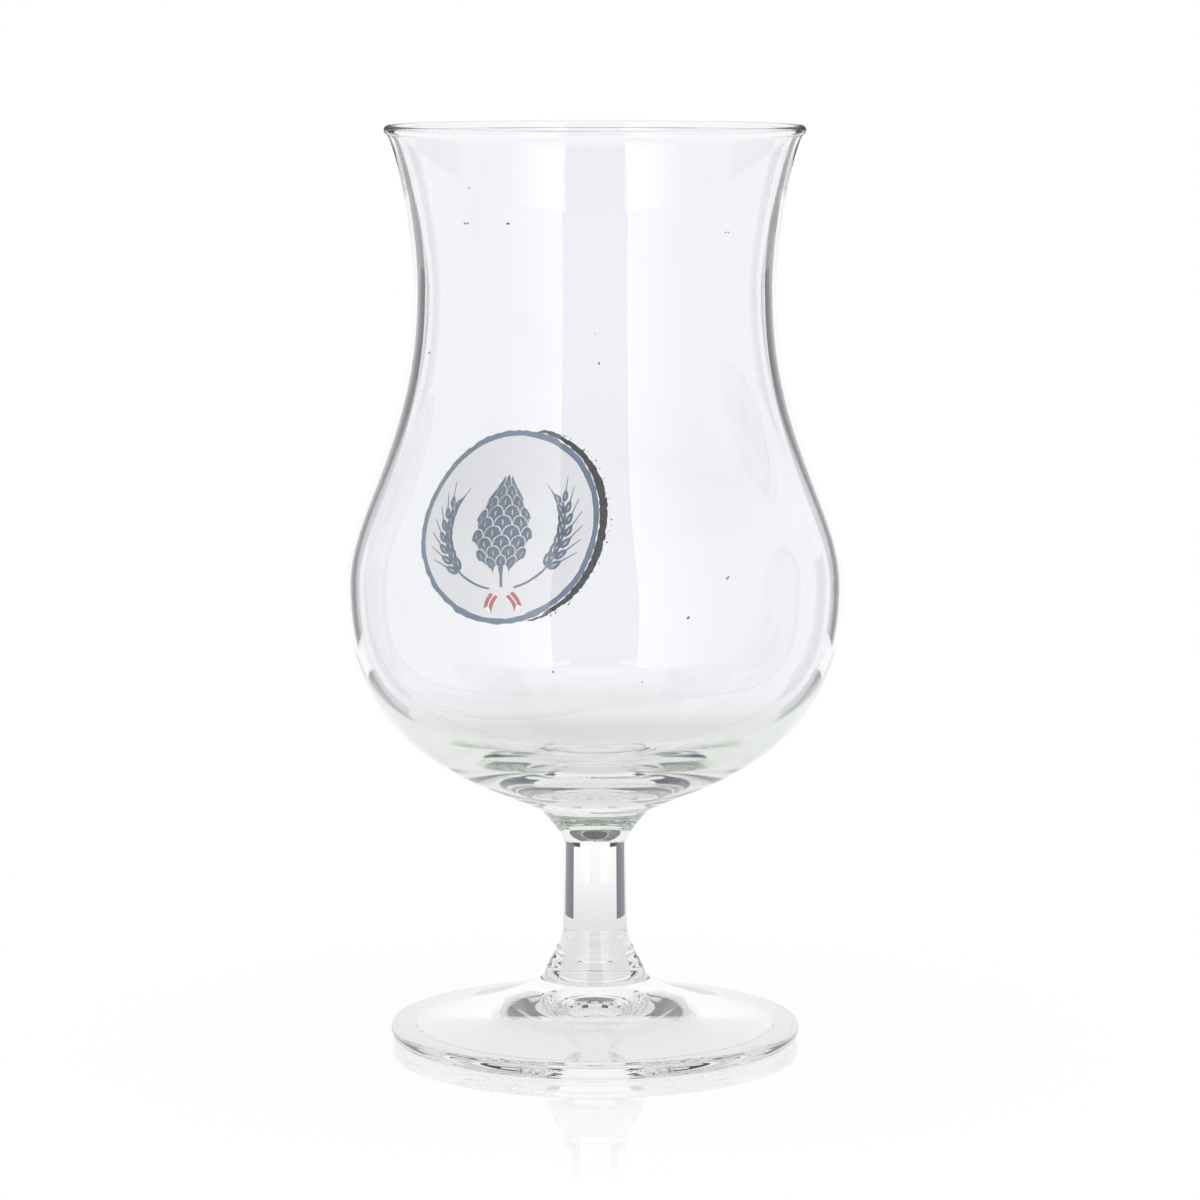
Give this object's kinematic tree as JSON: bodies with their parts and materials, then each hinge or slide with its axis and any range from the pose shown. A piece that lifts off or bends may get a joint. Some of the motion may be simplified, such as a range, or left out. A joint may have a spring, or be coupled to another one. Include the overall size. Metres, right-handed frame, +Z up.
{
  "type": "beer glass",
  "caption": "Clear footed tulip beer glass with a flared rim, a waisted bowl with a thick base, a short stem with a trumpet top, a low domed foot and a round enamel print on the bowl.",
  "frame": {"origin": "on the table under the middle of the foot", "axes": "+Z up along the glass's axis, -Y towards the viewer of the picture, the print on the +Y side and a little towards -X"},
  "size_m": [0.0848, 0.0855, 0.157],
  "materials": {
    "clear_glass": "clear soda-lime glass, fire-polished",
    "ink_silver_grey": "fired silver-grey enamel, satin",
    "ink_blue_grey": "fired blue-grey enamel, satin",
    "ink_black": "fired black enamel, satin",
    "ink_red": "fired red enamel, satin"
  },
  "bodies": {
    "root": {"bowl": "clear_glass", "stem": "clear_glass", "foot": "clear_glass", "badge_ground": "ink_silver_grey", "badge_border": "ink_blue_grey", "badge_shadow": "ink_black", "hop_cone": "ink_blue_grey", "barley_left": "ink_blue_grey", "barley_right": "ink_blue_grey", "ribbon_left": "ink_red", "ribbon_right": "ink_red"}
  },
  "joints": []
}
